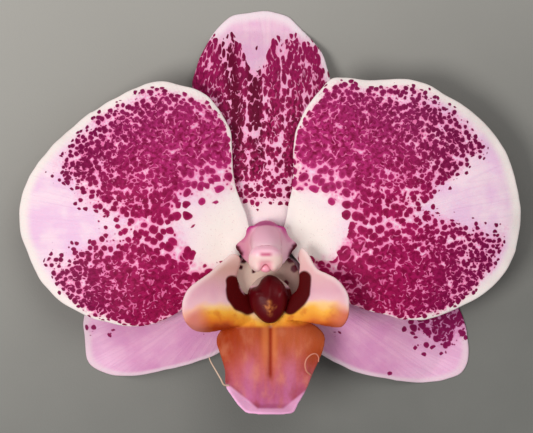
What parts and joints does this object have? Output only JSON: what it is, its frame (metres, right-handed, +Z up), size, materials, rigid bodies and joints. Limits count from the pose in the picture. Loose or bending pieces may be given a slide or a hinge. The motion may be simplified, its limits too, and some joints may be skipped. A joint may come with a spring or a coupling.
{
  "type": "moth orchid bloom",
  "caption": "Picked moth orchid bloom lying face up, with spotted petals and sepals round a column and a raised orange and pink lip.",
  "frame": {"origin": "on the surface that the bloom lies on, under the middle of its outline", "axes": "+X to the right across the bloom as its face is seen, +Y towards the dorsal sepal, +Z up out of the face"},
  "size_m": [0.1054, 0.0849, 0.0232],
  "materials": {
    "pedicel": "satin",
    "spotted_sepal": "satin",
    "lilac_sepal": "satin",
    "spotted_petal": "satin",
    "lip": "satin",
    "callus": "gloss",
    "column": "satin",
    "anther_cap": "satin",
    "pollinarium": "gloss"
  },
  "bodies": {
    "root": {"pedicel": "pedicel", "sepal_dorsal": "spotted_sepal", "sepal_lateral_left": "lilac_sepal", "sepal_lateral_right": "lilac_sepal", "petal_left": "spotted_petal", "petal_right": "spotted_petal", "lip": "lip", "lip_callus": "callus", "column": "column", "anther_cap": "anther_cap", "pollinarium": "pollinarium"}
  },
  "joints": []
}
